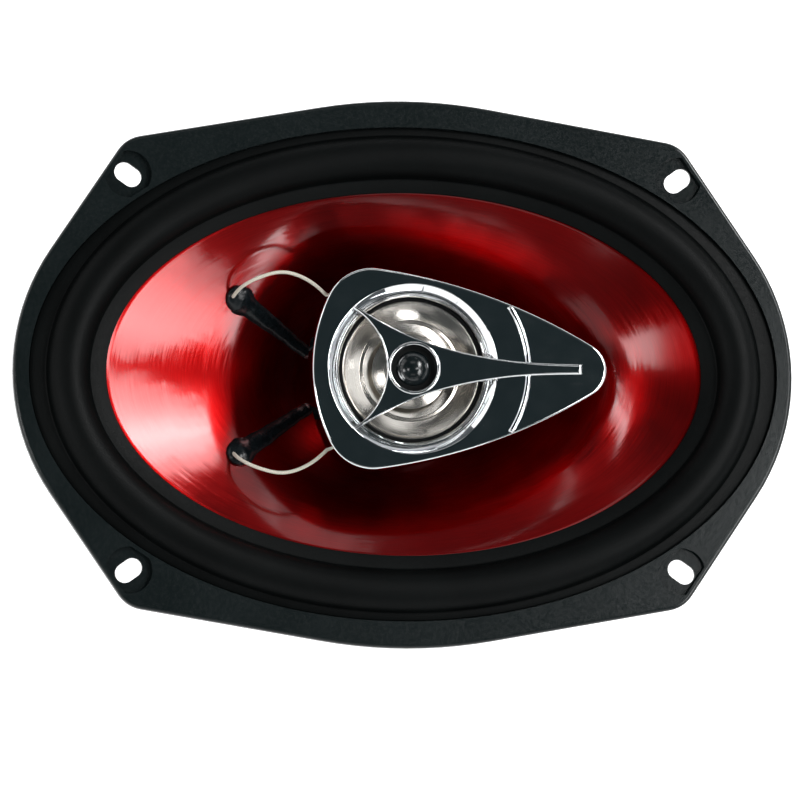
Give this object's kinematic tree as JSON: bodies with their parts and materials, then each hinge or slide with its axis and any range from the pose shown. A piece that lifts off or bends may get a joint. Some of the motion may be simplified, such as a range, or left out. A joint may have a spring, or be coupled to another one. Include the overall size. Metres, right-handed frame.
{
  "type": "coaxial car speaker",
  "caption": "Oval three-way coaxial car speaker: slotted steel flange, rubber half-roll, glossy red cone, and a chrome teardrop pod with a midrange and a star-mounted tweeter.",
  "frame": {"origin": "centre of the mounting plane, at the back of the flange, on the speaker's axis", "axes": "+Z out of the speaker's front along its axis, +X along the oval's long side towards the pod's tip, +Y along its short side"},
  "size_m": [0.2352, 0.1644, 0.0931],
  "materials": {
    "black_steel": "satin",
    "surround_rubber": "matte",
    "red_cone": "gloss",
    "spider_cloth": "matte",
    "former_aluminium": "satin",
    "copper_wire": "satin",
    "zinc_steel": "satin",
    "ferrite": "matte",
    "boot_rubber": "satin",
    "dark_screw": "satin",
    "chrome_plastic": "polished",
    "black_plastic": "satin",
    "capacitor_sleeve": "satin",
    "silver_cone": "satin",
    "neodymium": "satin",
    "black_dome": "gloss",
    "brass_eyelet": "satin",
    "fibre_board": "matte",
    "black_glue": "gloss",
    "tinsel_braid": "satin",
    "tinned_tab": "satin"
  },
  "bodies": {
    "chassis": {"basket": "black_steel", "surround": "surround_rubber", "spider": "spider_cloth", "top_plate": "zinc_steel", "magnet": "ferrite", "yoke": "zinc_steel", "magnet_boot": "boot_rubber", "motor_rivets": "zinc_steel", "post": "black_plastic", "post_screw": "dark_screw", "pod_screw": "dark_screw", "pod_bezel": "chrome_plastic", "pod_base": "black_plastic", "pod_case_screws": "dark_screw", "midrange_capacitor": "capacitor_sleeve", "tweeter_capacitor": "capacitor_sleeve", "mid_frame": "black_steel", "mid_yoke": "zinc_steel", "mid_magnet": "ferrite", "mid_top_plate": "zinc_steel", "mid_spider": "spider_cloth", "mid_surround": "surround_rubber", "mid_trim_ring": "chrome_plastic", "star": "chrome_plastic", "tweeter_cup": "zinc_steel", "tweeter_magnet": "neodymium", "tweeter_plate": "zinc_steel", "tweeter_surround": "surround_rubber", "tweeter_ring": "chrome_plastic", "terminal_board": "fibre_board", "board_rivets": "zinc_steel", "tab_rivets": "brass_eyelet", "front_lead_upper": "tinsel_braid", "front_lead_lower": "tinsel_braid", "rear_lead_upper": "tinsel_braid", "rear_lead_lower": "tinsel_braid", "terminal_tab_positive": "tinned_tab", "terminal_tab_negative": "tinned_tab"},
    "woofer_cone": {"cone": "red_cone", "voice_coil_former": "former_aluminium", "voice_coil_winding": "copper_wire", "eyelets": "brass_eyelet", "glue_upper": "black_glue", "glue_lower": "black_glue"},
    "midrange_cone": {"mid_cone": "silver_cone", "mid_cap": "silver_cone", "mid_former": "former_aluminium", "mid_winding": "copper_wire"},
    "tweeter_dome": {"tweeter_dome": "black_dome", "tweeter_coil": "copper_wire"}
  },
  "joints": [
    {"name": "woofer_travel", "type": "slide", "parent": "chassis", "child": "woofer_cone", "axis": [0, 0, 1], "range_m": [-0.004, 0.004], "stiffness_N_per_m": 2500, "deforming": ["surround", "spider", "front_lead_upper", "front_lead_lower", "rear_lead_upper", "rear_lead_lower"]},
    {"name": "midrange_travel", "type": "slide", "parent": "chassis", "child": "midrange_cone", "axis": [0, 0, 1], "range_m": [-0.0007, 0.0007], "stiffness_N_per_m": 1500, "deforming": ["mid_surround", "mid_spider"]},
    {"name": "tweeter_travel", "type": "slide", "parent": "chassis", "child": "tweeter_dome", "axis": [0, 0, 1], "range_m": [-0.0002, 0.0002], "stiffness_N_per_m": 1500, "deforming": ["tweeter_surround"]}
  ]
}
